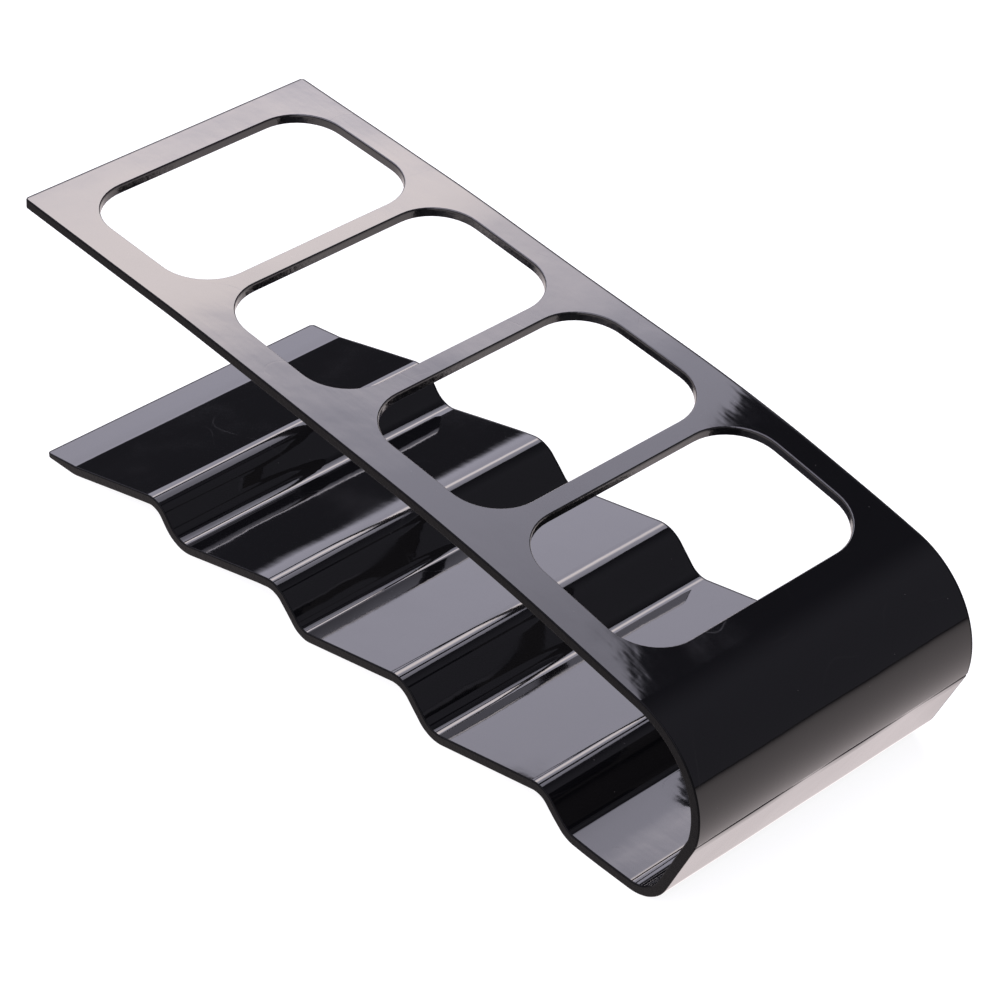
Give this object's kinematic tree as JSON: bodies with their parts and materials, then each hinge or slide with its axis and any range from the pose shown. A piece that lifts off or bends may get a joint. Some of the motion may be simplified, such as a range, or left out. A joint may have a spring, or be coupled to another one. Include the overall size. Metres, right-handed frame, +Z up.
{
  "type": "slotted step rack",
  "caption": "Desk rack bent from one sheet of gloss black plastic: a slotted sloping top over a stepped base, joined by a rounded front.",
  "frame": {"origin": "on the desk, under the middle of the rack's bounding box", "axes": "+X across the sheet, +Y from the rounded front to the open rear edge, +Z up"},
  "size_m": [0.1, 0.2638, 0.084],
  "materials": {
    "gloss_black_plastic": "high gloss, mirror-like"
  },
  "bodies": {
    "root": {"slotted_top": "gloss_black_plastic", "front_bend": "gloss_black_plastic", "toe_and_heel": "gloss_black_plastic", "stepped_base": "gloss_black_plastic"}
  },
  "joints": []
}
